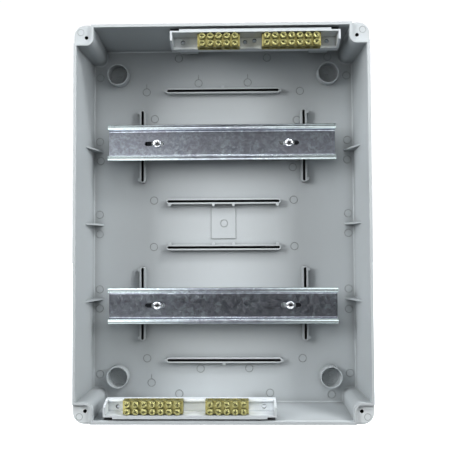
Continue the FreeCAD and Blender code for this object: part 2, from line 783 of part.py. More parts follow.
# In the lower carrier's own frame the bars sit the same way round as above.
carrier(
    "lower",
    [("-bar_off", PEG5), ("bar_off", PEG7)],
    [("-tray_hole_x", "tray_hole_z"), ("tray_hole_x", "tray_hole_z")],
)
for which in ("upper", "lower"):
    bar(which, 5, "-bar_off", PEG5)
    bar(which, 7, "bar_off", PEG7)

# ---------------------------------------------------------------- check and write
doc.recompute()
bad = [
    o.Name for o in doc.Objects if "Invalid" in o.State or "Error" in o.State
]
if bad:
    raise RuntimeError("failed objects: " + ", ".join(bad))
os.makedirs("parts", exist_ok=True)
for o in OUT:
    s = o.Shape
    if s.isNull() or not s.isValid() or not s.Solids:
        raise RuntimeError("bad shape: " + o.Label)
for o in OUT:
    o.Shape.exportStep("parts/%s.step" % o.Label)
    bb = o.Shape.BoundBox
    print(
        "%-34s solids %d faces %3d vol %10.1f  x %.1f..%.1f y %.1f..%.1f z %.1f..%.1f"
        % (o.Label, len(o.Shape.Solids), len(o.Shape.Faces), o.Shape.Volume,
           bb.XMin, bb.XMax, bb.YMin, bb.YMax, bb.ZMin, bb.ZMax)
    )
print(len(OUT), "nodes")
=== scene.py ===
import json
import math
import random

import bmesh
import bpy
from mathutils import Matrix, Vector

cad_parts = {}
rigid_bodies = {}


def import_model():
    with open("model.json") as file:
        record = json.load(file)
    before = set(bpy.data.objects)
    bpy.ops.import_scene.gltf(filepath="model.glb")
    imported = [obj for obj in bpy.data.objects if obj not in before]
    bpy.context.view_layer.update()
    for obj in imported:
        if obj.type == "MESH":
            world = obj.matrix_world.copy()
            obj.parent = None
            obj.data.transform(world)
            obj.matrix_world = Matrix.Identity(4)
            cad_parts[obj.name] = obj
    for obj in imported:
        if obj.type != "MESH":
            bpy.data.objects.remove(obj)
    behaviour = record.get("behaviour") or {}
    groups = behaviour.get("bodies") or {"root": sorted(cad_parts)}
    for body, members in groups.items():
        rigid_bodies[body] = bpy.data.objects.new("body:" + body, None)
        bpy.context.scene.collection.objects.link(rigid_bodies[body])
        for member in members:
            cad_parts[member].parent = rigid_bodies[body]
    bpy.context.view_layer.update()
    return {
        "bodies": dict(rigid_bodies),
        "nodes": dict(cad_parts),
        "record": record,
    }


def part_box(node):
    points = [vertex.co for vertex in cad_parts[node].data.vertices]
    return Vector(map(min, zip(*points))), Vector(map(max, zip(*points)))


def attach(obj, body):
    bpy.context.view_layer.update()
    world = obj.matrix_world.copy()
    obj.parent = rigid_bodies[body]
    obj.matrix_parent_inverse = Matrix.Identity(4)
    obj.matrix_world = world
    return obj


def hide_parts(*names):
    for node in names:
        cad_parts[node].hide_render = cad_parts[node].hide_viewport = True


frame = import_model()


nodes, bodies = frame["nodes"], frame["bodies"]
body_of = {n: b for b, ns in frame["record"]["behaviour"]["bodies"].items() for n in ns}
MM = 0.001
scene = bpy.context.scene

# ------------------------------------------------------------------ camera
# Straight in front, 0.62 m from the back, a little below the middle.
cam_data = bpy.data.cameras.new("camera")
cam = bpy.data.objects.new("camera", cam_data)
scene.collection.objects.link(cam)
cam_data.sensor_width = 36.0
cam_data.lens = 36.0 * 609.573 / 450.0
cam_data.clip_start = 0.02
cam_data.clip_end = 60.0


def view_rows(rx, ry, rz):
    """Right, up and forward, in X, depth and Z, after three small turns."""
    u, v, w = Vector((1, 0, 0)), Vector((0, 0, 1)), Vector((0, 1, 0))
    c, s = math.cos(rx), math.sin(rx)
    v, w = v * c - w * s, v * s + w * c
    c, s = math.cos(ry), math.sin(ry)
    u, w = u * c - w * s, u * s + w * c
    c, s = math.cos(rz), math.sin(rz)
    u, v = u * c - v * s, u * s + v * c
    return u, v, w


right, up, ahead = view_rows(0.038449, -0.019542, 0.005538)
turn = Matrix((right, up, -ahead)).transposed().to_4x4()
cam.matrix_world = Matrix.Translation(Vector((0.013454, -0.618343, -0.024207))) @ turn
scene.camera = cam

scene.view_settings.view_transform = "Standard"
scene.view_settings.look = "None"
scene.view_settings.exposure = 0.0
scene.view_settings.gamma = 0.85


# ------------------------------------------------------------------ material helpers
class Mat:
    def __init__(self, name):
        self.m = bpy.data.materials.new(name)
        self.m.use_nodes = True
        self.t = self.m.node_tree
        self.t.nodes.clear()
        self.out = self.t.nodes.new("ShaderNodeOutputMaterial")
        self.b = self.t.nodes.new("ShaderNodeBsdfPrincipled")
        self.t.links.new(self.b.outputs[0], self.out.inputs[0])
        self.xyz = self.t.nodes.new("ShaderNodeTexCoord").outputs["Object"]

    def set(self, **k):
        for name, v in k.items():
            self.b.inputs[name.replace("_", " ")].default_value = v

    def node(self, kind, **props):
        n = self.t.nodes.new(kind)
        for p, v in props.items():
            setattr(n, p, v)
        return n

    def link(self, a, b):
        self.t.links.new(a, b)

    def noise(self, scale, detail=2.0, rough=0.5, stretch=(1, 1, 1), distort=0.0):
        src = self.xyz
        if stretch != (1, 1, 1):
            mp = self.node("ShaderNodeMapping")
            mp.inputs["Scale"].default_value = stretch
            self.link(src, mp.inputs["Vector"])
            src = mp.outputs[0]
        n = self.node("ShaderNodeTexNoise")
        n.inputs["Scale"].default_value = scale
        n.inputs["Detail"].default_value = detail
        n.inputs["Roughness"].default_value = rough
        n.inputs["Distortion"].default_value = distort
        self.link(src, n.inputs["Vector"])
        return n.outputs["Fac"]

    def ramp(self, fac, stops):
        r = self.node("ShaderNodeValToRGB")
        e = r.color_ramp.elements
        while len(e) < len(stops):
            e.new(0.5)
        for el, (p, c) in zip(e, stops):
            el.position = p
            el.color = (c[0], c[1], c[2], 1.0) if isinstance(c, (tuple, list)) else (c, c, c, 1.0)
        self.link(fac, r.inputs[0])
        return r.outputs[0]

    def span(self, fac, a, b, lo=0.0, hi=1.0):
        r = self.node("ShaderNodeMapRange")
        for i, v in ((1, lo), (2, hi), (3, a), (4, b)):
            r.inputs[i].default_value = v
        self.link(fac, r.inputs[0])
        return r.outputs[0]

    def mix(self, fac, a, b, mode="MIX"):
        m = self.node("ShaderNodeMix", data_type="RGBA", blend_type=mode)
        for sock, v in ((m.inputs[0], fac), (m.inputs[6], a), (m.inputs[7], b)):
            if isinstance(v, (int, float)):
                sock.default_value = v
            elif isinstance(v, (tuple, list)):
                sock.default_value = (v[0], v[1], v[2], 1.0)
            else:
                self.link(v, sock)
        return m.outputs[2]

    def math(self, op, a, b):
        m = self.node("ShaderNodeMath", operation=op)
        for sock, v in ((m.inputs[0], a), (m.inputs[1], b)):
            if isinstance(v, (int, float)):
                sock.default_value = v
            else:
                self.link(v, sock)
        return m.outputs[0]

    def inside(self, v, lo, hi):
        return self.math("MULTIPLY", self.math("GREATER_THAN", v, lo), self.math("LESS_THAN", v, hi))

    def shade(self, reach, lo, hi, floor):
        """From floor in a tight corner to 1 in the open."""
        ao = self.node("ShaderNodeAmbientOcclusion", samples=6)
        ao.inputs["Distance"].default_value = reach
        return self.span(ao.outputs["AO"], floor, 1.0, lo, hi)

    def bump(self, heights, soft_edge=0.0):
        """heights: (fac, strength, distance in metres), stacked; soft_edge rounds edges."""
        last = None
        if soft_edge:
            bv = self.node("ShaderNodeBevel", samples=4)
            bv.inputs["Radius"].default_value = soft_edge
            last = bv.outputs[0]
        for fac, strength, dist in heights:
            b = self.node("ShaderNodeBump")
            b.inputs["Strength"].default_value = strength
            b.inputs["Distance"].default_value = dist
            self.link(fac, b.inputs["Height"])
            if last is not None:
                self.link(last, b.inputs["Normal"])
            last = b.outputs[0]
        self.link(last, self.b.inputs["Normal"])


# moulded light grey plastic: spark-eroded grain, faint flow marks, slight satin
grey = Mat("enclosure_plastic")
grain = grey.noise(1700.0, 2.0, 0.6)
flow = grey.noise(9.0, 3.0, 0.55, (1.0, 1.0, 0.45), 0.4)
dust = grey.noise(420.0, 4.0, 0.7)
col = grey.ramp(flow, [(0.25, (0.49, 0.522, 0.538)), (0.75, (0.525, 0.558, 0.575))])
col = grey.mix(grey.span(dust, 0.0, 0.10, 0.55, 0.85), col, (0.36, 0.385, 0.39))
g_sep = grey.node("ShaderNodeSeparateXYZ")
grey.link(grey.xyz, g_sep.inputs[0])
# painted shade: crevices inside the box are darkened where ambient occlusion finds them; the rim is left
# unshaded
g_open = grey.math("LESS_THAN", g_sep.outputs[1], -0.0668)
g_ao = grey.math("MAXIMUM", grey.shade(0.014, 0.22, 0.86, 0.52), g_open)
# painted shade is mostly lifted inside the two lower fixing cups, so they read lighter than the upper ones
g_near = grey.node("ShaderNodeVectorMath", operation="DISTANCE")
g_low = grey.node("ShaderNodeCombineXYZ")
grey.link(grey.math("ABSOLUTE", g_sep.outputs[0], 0.0), g_low.inputs[0])
grey.link(g_sep.outputs[2], g_low.inputs[2])
grey.link(g_low.outputs[0], g_near.inputs[0])
g_near.inputs[1].default_value = (0.1056, 0.0, -0.1512)
g_cup = grey.math("LESS_THAN", g_near.outputs["Value"], 0.0097)
g_ao = grey.math("MAXIMUM", g_ao, grey.math("MULTIPLY", g_cup, 0.95))
# seen through the rails' end slots: the boss on the inner side is left without painted shade, and the floor
# under the rail's outer slot end is painted dark as its shadow
g_absx = grey.math("ABSOLUTE", g_sep.outputs[0], 0.0)
g_absz = grey.math("ABSOLUTE", g_sep.outputs[2], 0.0)
g_row = grey.inside(g_absz, 0.0765, 0.0845)
g_boss = grey.math("MULTIPLY", g_row, grey.inside(g_absx, 0.0560, 0.0625))
g_ao = grey.math("MAXIMUM", g_ao, grey.math("MULTIPLY", g_boss, 1.0))
# the painted shade is multiplied into the colour here
col = grey.mix(g_ao, (0.0, 0.0, 0.0), col)
# painted shade: the slots between the groove ribs are painted near-black for their depth
g_x = grey.math("ABSOLUTE", g_sep.outputs[0], 0.0)
g_z = grey.math("ABSOLUTE", g_sep.outputs[2], 0.0)
g_up = grey.math("MULTIPLY", grey.inside(g_x, 0.0798, 0.0822), grey.inside(g_z, 0.0420, 0.1158))
g_across = grey.math("ADD", grey.inside(g_z, 0.1337, 0.1361), grey.inside(g_z, 0.0219, 0.0243))
g_across = grey.math("MULTIPLY", g_across, grey.math("LESS_THAN", g_x, 0.0574))
g_slot = grey.math("MULTIPLY", grey.math("ADD", g_up, g_across), grey.inside(g_sep.outputs[1], -0.0097, -0.0016))
col = grey.mix(g_slot, col, (0.004, 0.004, 0.005))
# painted shadow: the floor under the rails' slot ends is painted dark
g_under_rail_shadow = grey.math("MULTIPLY", g_row, grey.inside(g_absx, 0.0690, 0.0797))
g_under_rail_shadow = grey.math("MULTIPLY", g_under_rail_shadow, grey.math("GREATER_THAN", g_sep.outputs[1], -0.0195))
col = grey.mix(g_under_rail_shadow, col, (0.045, 0.050, 0.060))
# painted shadow: the narrow gap between each carrier and its wall is painted dark, darkest behind the lip's
# notches
g_wall = grey.inside(g_absz, 0.1755, 0.1792)
g_turn = grey.math("SUBTRACT", grey.math("MULTIPLY", grey.math("GREATER_THAN", g_sep.outputs[2], 0.0), 2.0), 1.0)
g_own = grey.math("MULTIPLY", g_sep.outputs[0], g_turn)
g_own = grey.math("SUBTRACT", g_own, 0.0303)
g_own = grey.math("ABSOLUTE", g_own, 0.0)
g_gap_shadow = grey.math("MULTIPLY", g_wall, grey.math("LESS_THAN", g_own, 0.0774))
g_gap_shadow = grey.math("MULTIPLY", g_gap_shadow, grey.span(g_sep.outputs[1], 0.0, 1.0, -0.0675, -0.0655))
g_notch = grey.math("MULTIPLY", g_gap_shadow, grey.math("GREATER_THAN", g_own, 0.0693))
g_notch = grey.math("MULTIPLY", g_notch, grey.math("LESS_THAN", g_sep.outputs[1], -0.0585))
g_gap_shadow = grey.math("MULTIPLY", g_gap_shadow, grey.span(g_sep.outputs[1], 1.0, 0.0, -0.0630, -0.0605))
col = grey.mix(grey.math("MULTIPLY", g_gap_shadow, 0.60), col, (0.03, 0.032, 0.034))
col = grey.mix(grey.math("MULTIPLY", g_notch, 0.90), col, (0.01, 0.01, 0.011))
# painted light: the seats at the two lower corners are painted a little lighter than the rest
g_seat_light = grey.math("MULTIPLY", grey.inside(g_sep.outputs[1], -0.0700, -0.0668), grey.inside(g_sep.outputs[2], -0.1790, -0.1640))
col = grey.mix(g_seat_light, col, (0.655, 0.690, 0.705))
# painted shade: the four pilot holes are painted black
g_flat = grey.node("ShaderNodeCombineXYZ")
grey.link(g_x, g_flat.inputs[0])
grey.link(g_z, g_flat.inputs[2])
g_far = grey.node("ShaderNodeVectorMath", operation="DISTANCE")
grey.link(g_flat.outputs[0], g_far.inputs[0])
g_far.inputs[1].default_value = (0.1234, 0.0, 0.1692)
g_pilot = grey.math("LESS_THAN", g_far.outputs["Value"], 0.00168)
col = grey.mix(grey.math("MULTIPLY", g_pilot, grey.inside(g_sep.outputs[1], -0.0692, -0.02)), col, (0.003, 0.003, 0.003))
grey.link(col, grey.b.inputs["Base Color"])
grey.link(grey.span(flow, 0.40, 0.52), grey.b.inputs["Roughness"])
grey.bump([(grain, 0.35, 0.00003), (flow, 0.25, 0.0006)], 0.0005)

# a darker copy of the same plastic for the ejector-pin marks: painted shade that makes them read as dark rings
mark_shade_mat = Mat("enclosure_plastic_painted_shade")
mark_shade_mat.link(
    mark_shade_mat.ramp(mark_shade_mat.noise(300.0, 3.0, 0.7), [(0.35, (0.20, 0.215, 0.22)), (0.7, (0.37, 0.40, 0.41))]),
    mark_shade_mat.b.inputs["Base Color"],
)
mark_shade_mat.set(Roughness=0.5)

# the carriers: whiter, smoother plastic
TRAY_HOLES = [(-36.1, 168.5), (22.0, 168.5), (30.7, 169.6), (97.9, 168.5), (37.4, -168.5), (-96.6, -168.5)]
white = Mat("carrier_plastic")
w_grain = white.noise(1500.0, 2.0, 0.5)
w_flow = white.noise(16.0, 2.0, 0.5, (0.4, 1.0, 1.0))
w_col = white.ramp(w_flow, [(0.3, (0.64, 0.675, 0.70)), (0.7, (0.70, 0.735, 0.76))])
# painted shade and light: lips and tops are painted greyer, the lower tray's floor painted lighter
w_pos = white.node("ShaderNodeSeparateXYZ")
white.link(white.xyz, w_pos.inputs[0])
w_col = white.mix(white.math("MULTIPLY", white.math("LESS_THAN", w_pos.outputs[1], -0.0683), 0.9), w_col, (0.56, 0.597, 0.62))
w_low = white.math("MULTIPLY", white.math("LESS_THAN", w_pos.outputs[2], 0.0), white.inside(w_pos.outputs[1], -0.0590, -0.0200))
w_col = white.mix(w_low, w_col, (0.79, 0.83, 0.865))
# painted shade: the carriers' corners and pockets are darkened where ambient occlusion finds them
w_col = white.mix(white.shade(0.003, 0.25, 0.85, 0.55), (0.0, 0.0, 0.0), w_col)
# painted shade: the holes through the trays are painted dark
w_sep = white.node("ShaderNodeSeparateXYZ")
white.link(white.xyz, w_sep.inputs[0])
w_flat = white.node("ShaderNodeCombineXYZ")
white.link(w_sep.outputs[0], w_flat.inputs[0])
white.link(w_sep.outputs[2], w_flat.inputs[2])
w_dark = 0.0
for hx, hz in TRAY_HOLES:
    d = white.node("ShaderNodeVectorMath", operation="DISTANCE")
    white.link(w_flat.outputs[0], d.inputs[0])
    d.inputs[1].default_value = (hx * 0.001, 0.0, hz * 0.001)
    w_dark = white.math("ADD", white.math("LESS_THAN", d.outputs["Value"], 0.00197), w_dark)
w_col = white.mix(w_dark, w_col, (0.02, 0.021, 0.023))
white.link(w_col, white.b.inputs["Base Color"])
white.link(white.span(w_flow, 0.30, 0.42), white.b.inputs["Roughness"])
white.bump([(w_grain, 0.25, 0.00002)], 0.0004)

# galvanised sheet: spangle crystals of different tone and gloss, rolling grain
zinc = Mat("rail_galvanised")
zinc.set(Metallic=1.0)
warp = zinc.noise(120.0, 3.0, 0.6)
wv = zinc.node("ShaderNodeVectorMath", operation="MULTIPLY_ADD")
sc3 = zinc.node("ShaderNodeCombineXYZ")
for i in range(3):
    zinc.link(warp, sc3.inputs[i])
zinc.link(sc3.outputs[0], wv.inputs[0])
wv.inputs[1].default_value = (0.006, 0.006, 0.006)
zinc.link(zinc.xyz, wv.inputs[2])
vor = zinc.node("ShaderNodeTexVoronoi")
vor.inputs["Scale"].default_value = 330.0
zinc.link(wv.outputs[0], vor.inputs["Vector"])
cell = zinc.node("ShaderNodeSeparateColor")
zinc.link(vor.outputs["Color"], cell.inputs[0])
tone = zinc.ramp(
    cell.outputs[0],
    [(0.0, (0.375, 0.40, 0.46)), (0.5, (0.425, 0.455, 0.515)), (1.0, (0.485, 0.53, 0.575))],
)
mottle = zinc.noise(420.0, 4.0, 0.72)
cloud = zinc.noise(170.0, 5.0, 0.68, (1.0, 1.0, 1.0), 0.6)
tone = zinc.mix(zinc.span(mottle, 0.0, 0.85, 0.42, 0.62), tone, (0.33, 0.345, 0.385))
tone = zinc.mix(zinc.span(cloud, 0.0, 0.55, 0.48, 0.66), tone, (0.60, 0.67, 0.71))
patch = zinc.noise(26.0, 2.0, 0.5)
tone = zinc.mix(zinc.span(patch, 0.0, 0.4, 0.45, 0.7), tone, (0.36, 0.355, 0.40))
# painted highlight: the flanges are painted brighter than the web, more so towards the rail ends
z_pos = zinc.node("ShaderNodeSeparateXYZ")
zinc.link(zinc.xyz, z_pos.inputs[0])
z_edge = zinc.math("LESS_THAN", z_pos.outputs[1], -0.0264)
z_off = zinc.math("ABSOLUTE", z_pos.outputs[0], 0.0)
z_sheen = zinc.span(z_off, 0.10, 0.85, 0.025, 0.095)
tone = zinc.mix(zinc.math("MULTIPLY", z_edge, z_sheen), tone, (0.62, 0.705, 0.705))
zinc.link(tone, zinc.b.inputs["Base Color"])
rgh = zinc.math("ADD", zinc.span(cell.outputs[1], 0.19, 0.25), zinc.span(mottle, -0.04, 0.06))
zinc.link(rgh, zinc.b.inputs["Roughness"])
roll = zinc.noise(900.0, 2.0, 0.6, (0.06, 1.0, 1.0))
zinc.bump(
    [(cloud, 0.30, 0.00010), (mottle, 0.35, 0.00006), (roll, 0.25, 0.00002)], 0.0002
)

# bright zinc-plated screws, with painted shade in the recess
plated = Mat("screw_zinc")
plated.set(Metallic=1.0)
p_n = plated.noise(1400.0, 3.0, 0.6)
plated.link(
    plated.mix(
        plated.shade(0.0022, 0.25, 0.90, 0.06),
        (0.0, 0.0, 0.0),
        plated.ramp(p_n, [(0.3, (0.50, 0.52, 0.55)), (0.75, (0.72, 0.74, 0.76))]),
    ),
    plated.b.inputs["Base Color"],
)
plated.link(plated.span(p_n, 0.14, 0.28), plated.b.inputs["Roughness"])
plated.bump([(p_n, 0.2, 0.00002)])

# drawn brass bars, sawn ends, a little tarnish; painted shade between the screws
brass = Mat("bar_brass")
brass.set(Metallic=1.0)
b_draw = brass.noise(700.0, 3.0, 0.6, (0.05, 1.0, 1.0))
b_tarn = brass.noise(150.0, 3.0, 0.6)
bc = brass.ramp(b_draw, [(0.3, (0.42, 0.39, 0.17)), (0.7, (0.56, 0.525, 0.26))])
bc = brass.mix(brass.span(b_tarn, 0.0, 0.7, 0.45, 0.72), bc, (0.30, 0.26, 0.09))
b_sep = brass.node("ShaderNodeSeparateXYZ")
brass.link(brass.xyz, b_sep.inputs[0])
# painted shade: the upper bars are painted darker than the lower ones
b_up = brass.math("GREATER_THAN", b_sep.outputs[2], 0.0)
bc = brass.mix(brass.math("MULTIPLY", b_up, 0.42), bc, (0.19, 0.165, 0.06))
# painted shade between the screws and in the hollows
bc = brass.mix(brass.shade(0.0025, 0.25, 0.92, 0.25), (0.0, 0.0, 0.0), bc)
brass.link(bc, brass.b.inputs["Base Color"])
brass.link(brass.span(b_draw, 0.40, 0.55), brass.b.inputs["Roughness"])
brass.bump([(b_draw, 0.3, 0.00003)], 0.0003)

# turned brass screws: paler; painted shade keeps them bright on the rim and dull in the recess
turned = Mat("clamp_screw_brass")
turned.set(Metallic=1.0)
t_n = turned.noise(900.0, 3.0, 0.6)
tc = turned.ramp(t_n, [(0.3, (0.28, 0.27, 0.125)), (0.72, (0.45, 0.44, 0.225))])
t_sep = turned.node("ShaderNodeSeparateXYZ")
turned.link(turned.xyz, t_sep.inputs[0])
# painted shade: the upper screws are painted darker than the lower ones
t_up = turned.math("GREATER_THAN", t_sep.outputs[2], 0.0)
tc = turned.mix(turned.math("MULTIPLY", t_up, 0.42), tc, (0.15, 0.14, 0.06))
tc = turned.mix(turned.shade(0.0016, 0.25, 0.90, 0.10), (0.0, 0.0, 0.0), tc)
turned.link(tc, turned.b.inputs["Base Color"])
turned.link(turned.span(t_n, 0.30, 0.44), turned.b.inputs["Roughness"])
turned.bump([(t_n, 0.25, 0.00002)])

SLOT_OF = {s["node"]: s["material_slot"] for s in frame["record"]["subparts"]}
MATS = {
    "enclosure_plastic": grey.m,
    "rail_galvanised": zinc.m,
    "screw_zinc": plated.m,
    "carrier_plastic": white.m,
    "bar_brass": brass.m,
    "clamp_screw_brass": turned.m,
}
for name, obj in nodes.items():
    obj.data.materials.clear()
    obj.data.materials.append(MATS[SLOT_OF[name]])


# ------------------------------------------------------------------ mesh helpers
def y_of(h):
    """World y of a height in mm above the cavity floor."""
    return -(4.0 + h) * MM


def add_object(name, mesh):
    o = bpy.data.objects.new(name, mesh)
    scene.collection.objects.link(o)
    return o


def mark_sharp(mesh, degrees=32.0):
    bm = bmesh.new()
    bm.from_mesh(mesh)
    for f in bm.faces:
        f.smooth = True
    limit = math.radians(degrees)
    for e in bm.edges:
        e.smooth = len(e.link_faces) == 2 and e.calc_face_angle(0.0) < limit
    bm.to_mesh(mesh)
    bm.free()


def baked(obj):
    """The mesh of obj with its modifiers applied."""
    bpy.context.view_layer.update()
    ev = obj.evaluated_get(bpy.context.evaluated_depsgraph_get())
    me = bpy.data.meshes.new_from_object(ev)
    return me


def lathe(bm, rings, segs):
    """A closed solid turned about the Y axis; rings are (radius, y) from front to back."""
    loops = []
    for r, y in rings:
        if r <= 0.0:
            loops.append([bm.verts.new((0.0, y, 0.0))])
        else:
            loops.append(
                [
                    bm.verts.new(
                        (
                            r * math.cos(2 * math.pi * k / segs),
                            y,
                            r * math.sin(2 * math.pi * k / segs),
                        )
                    )
                    for k in range(segs)
                ]
            )
    for a, b in zip(loops, loops[1:]):
        if len(a) == 1 and len(b) == 1:
            continue
        for k in range(segs):
            k2 = (k + 1) % segs
            if len(a) == 1:
                bm.faces.new((a[0], b[k2], b[k]))
            elif len(b) == 1:
                bm.faces.new((a[k], a[k2], b[0]))
            else:
                bm.faces.new((a[k], a[k2], b[k2], b[k]))
    bmesh.ops.recalc_face_normals(bm, faces=bm.faces)


def boxy(bm, x0, x1, y0, y1, z0, z1, pinch=1.0):
    """A block; its back (y1) is pinch times as wide and high as its front."""
    mx, mz = (x0 + x1) / 2, (z0 + z1) / 2
    vs = []
    for y, k in ((y0, 1.0), (y1, pinch)):
        for x, z in ((x0, z0), (x1, z0), (x1, z1), (x0, z1)):
            vs.append(bm.verts.new((mx + (x - mx) * k, y, mz + (z - mz) * k)))
    for f in ((3, 2, 1, 0), (4, 5, 6, 7), (0, 1, 5, 4), (1, 2, 6, 5), (2, 3, 7, 6), (3, 0, 4, 7)):
        bm.faces.new([vs[i] for i in f])
    bmesh.ops.recalc_face_normals(bm, faces=bm.faces)


def carve(name, solid_bm, cutters, bevel=0.0):
    """Cuts each cutter out of the solid and returns one clean mesh."""
    me = bpy.data.meshes.new(name)
    solid_bm.to_mesh(me)
    solid_bm.free()
    o = add_object(name, me)
    made = []
    for i, cb in enumerate(cutters):
        cm = bpy.data.meshes.new("%s_cutter_%d" % (name, i))
        cb.to_mesh(cm)
        cb.free()
        co = add_object("%s_cutter_%d" % (name, i), cm)
        made.append(co)
        mod = o.modifiers.new("cut_%d" % i, "BOOLEAN")
        mod.operation = "DIFFERENCE"
        mod.solver = "EXACT"
        mod.object = co
    if bevel:
        mod = o.modifiers.new("edge", "BEVEL")
        mod.width = bevel
        mod.segments = 2
        mod.limit_method = "ANGLE"
        mod.angle_limit = math.radians(35)
        mod.use_clamp_overlap = True
    out = baked(o)
    for q in made + [o]:
        bpy.data.objects.remove(q, do_unlink=True)
    out.name = name
    mark_sharp(out)
    return out


def merged(name, parts):
    """One mesh from (mesh, matrix) pairs."""
    bm = bmesh.new()
    for me, mat in parts:
        n = len(bm.verts)
        bm.from_mesh(me)
        bm.verts.ensure_lookup_table()
        bmesh.ops.transform(bm, matrix=mat, verts=bm.verts[n:])
    out = bpy.data.meshes.new(name)
    bm.to_mesh(out)
    bm.free()
    return out


def put(name, mesh, node, keep_node=False):
    o = add_object(name, mesh)
    slot = SLOT_OF[node]
    o.data.materials.clear()
    o.data.materials.append(MATS[slot])
    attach(o, body_of[node])
    if not keep_node:
        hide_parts(node)
    return o


def arc(r, y, r0, a0, a1, n):
    """Points (radius, y) on a quarter-like arc of radius r0 about (r, y)."""
    pts = []
    for i in range(n + 1):
        a = math.radians(a0 + (a1 - a0) * i / n)
        pts.append((r + r0 * math.cos(a), y - r0 * math.sin(a)))
    return pts


# ------------------------------------------------------------------ clamp screws
def clamp_screw_mesh():
    # local y: 0 at the underside of the head, negative towards the user
    rings = [(0.0, -1.45), (1.15, -1.45), (1.75, -1.72), (2.0, -1.80)]
    rings += arc(2.45, -1.35, 0.45, 90, 0, 5)
    rings += [(2.9, -0.25), (2.75, 0.0), (1.78, 0.0), (1.55, 0.12)]
    y = 0.12
    while y < 3.1:
        rings += [(1.72, y + 0.14), (1.72, y + 0.20), (1.42, y + 0.42), (1.42, y + 0.48)]
        y += 0.55
    rings += [(1.3, 3.5), (0.9, 3.6), (0.0, 3.6)]
    bm = bmesh.new()
    lathe(bm, [(r * MM, q * MM) for r, q in rings], 28)
    cuts = []
    c = bmesh.new()
    boxy(c, -2.15 * MM, 2.15 * MM, -2.4 * MM, -0.75 * MM, -0.36 * MM, 0.36 * MM, 0.86)
    cuts.append(c)
    c = bmesh.new()
    boxy(c, -0.33 * MM, 0.33 * MM, -2.4 * MM, -0.70 * MM, -1.35 * MM, 1.35 * MM, 0.80)
    cuts.append(c)
    return carve("clamp_screw", bm, cuts)


CLAMP = clamp_screw_mesh()
rng = random.Random(11)
for node in sorted(n for n in nodes if "clamp_screws" in n):
    lo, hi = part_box(node)
    xm, zm = (lo.x + hi.x) / 2, (lo.z + hi.z) / 2
    seat = hi.y - 3.6 * MM
    parts = []
    for s in (-1, 1):
        spin = Matrix.Rotation(rng.uniform(0, math.pi), 4, "Y")
        drop = rng.uniform(-0.16, 0.0) * MM
        parts.append(
            (CLAMP, Matrix.Translation((xm, seat + drop, zm + s * 3.3 * MM)) @ spin)
        )
    me = merged(node + "_turned", parts)
    mark_sharp(me)
    put(node + "_turned", me, node)


# ------------------------------------------------------------------ rail screws
def rail_screw_mesh():
    rings = [(0.0, -2.60), (1.2, -2.58), (2.3, -2.42)]
    rings += arc(2.85, -1.15, 1.15, 68, 0, 6)
    rings += [(4.0, -0.2), (3.85, 0.0), (1.95, 0.0), (1.6, 0.25)]
    y = 0.4
    while y < 12.2:
        rings += [(1.9, y + 0.30), (1.9, y + 0.42), (1.45, y + 0.75), (1.45, y + 0.95)]
        y += 1.3
    rings += [(1.4, 13.3), (0.8, 14.0), (0.0, 14.0)]
    bm = bmesh.new()
    lathe(bm, [(r * MM, q * MM) for r, q in rings], 36)
    cuts = []
    for a, b in ((2.2, 0.5), (0.5, 2.2)):
        c = bmesh.new()
        boxy(c, -a * MM, a * MM, -3.4 * MM, -0.9 * MM, -b * MM, b * MM, 0.55)
        cuts.append(c)
    return carve("rail_screw", bm, cuts)


RSCREW = rail_screw_mesh()
for node, angle in (
    ("upper_left_rail_screw", 24), ("upper_right_rail_screw", 58),
    ("lower_left_rail_screw", 12), ("lower_right_rail_screw", 40),
):
    lo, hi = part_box(node)
    seat = lo.y + 2.6 * MM
    m = Matrix.Translation(((lo.x + hi.x) / 2, seat, (lo.z + hi.z) / 2))
    me = merged(node + "_turned", [(RSCREW, m @ Matrix.Rotation(math.radians(angle), 4, "Y"))])
    mark_sharp(me)
    put(node + "_turned", me, node)


